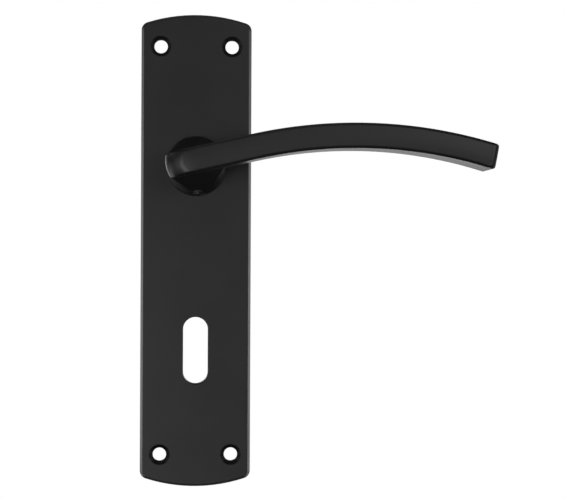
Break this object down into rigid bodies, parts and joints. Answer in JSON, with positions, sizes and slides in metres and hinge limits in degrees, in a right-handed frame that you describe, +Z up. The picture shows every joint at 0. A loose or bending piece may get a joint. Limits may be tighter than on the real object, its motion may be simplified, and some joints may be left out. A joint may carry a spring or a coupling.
{
  "type": "sprung lever handle on a lever-lock backplate",
  "caption": "Bowed flat lever handle with a tapered round neck on a tall hollow backplate with bowed ends, face-screw holes and a keyhole slot, with its return spring and square spindle.",
  "frame": {"origin": "on the spindle's axis, in the plane of the backplate's rear rim, which is the door's face", "axes": "+X along the lever towards its tip, +Y into the door along the spindle, +Z up; the front faces -Y"},
  "size_m": [0.1295, 0.121, 0.18],
  "materials": {
    "powder_coat": "satin black powder coat on a zinc die casting",
    "zinc_plated_bar": "drawn square bar, bright zinc plate",
    "zinc_plated_sheet": "pressed sheet, bright zinc plate",
    "zinc_plated_screw": "small screws, bright zinc plate",
    "blackened_steel": "phosphated and oiled spring steel",
    "bright_steel": "ground steel",
    "spring_wire": "patented spring wire, grey",
    "black_acetal": "moulded acetal, black",
    "white_acetal": "moulded acetal, natural",
    "buffer_rubber": "moulded rubber sleeve"
  },
  "bodies": {
    "plate": {"backplate": "powder_coat", "bearing_bush": "black_acetal", "rear_bush": "white_acetal", "spring_housing": "zinc_plated_sheet", "housing_screws": "zinc_plated_screw", "rest_stop_pin": "bright_steel", "travel_stop_pin": "bright_steel", "rest_stop_buffer": "buffer_rubber", "travel_stop_buffer": "buffer_rubber"},
    "lever": {"lever_handle": "powder_coat", "spindle": "zinc_plated_bar", "spindle_grub_screw": "blackened_steel", "drive_plate": "zinc_plated_sheet", "spring_shim": "bright_steel", "return_spring": "spring_wire", "thrust_washer": "bright_steel", "bowed_washer": "spring_wire", "retaining_circlip": "blackened_steel"}
  },
  "joints": [
    {"name": "lever_turn", "type": "hinge", "parent": "plate", "child": "lever", "pos_m": [0, 0, 0], "axis": [0, 1, 0], "range_deg": [0, 45], "stiffness_Nm_per_rad": 0.26, "springref_deg": -34.38, "deforming": ["return_spring"]}
  ]
}
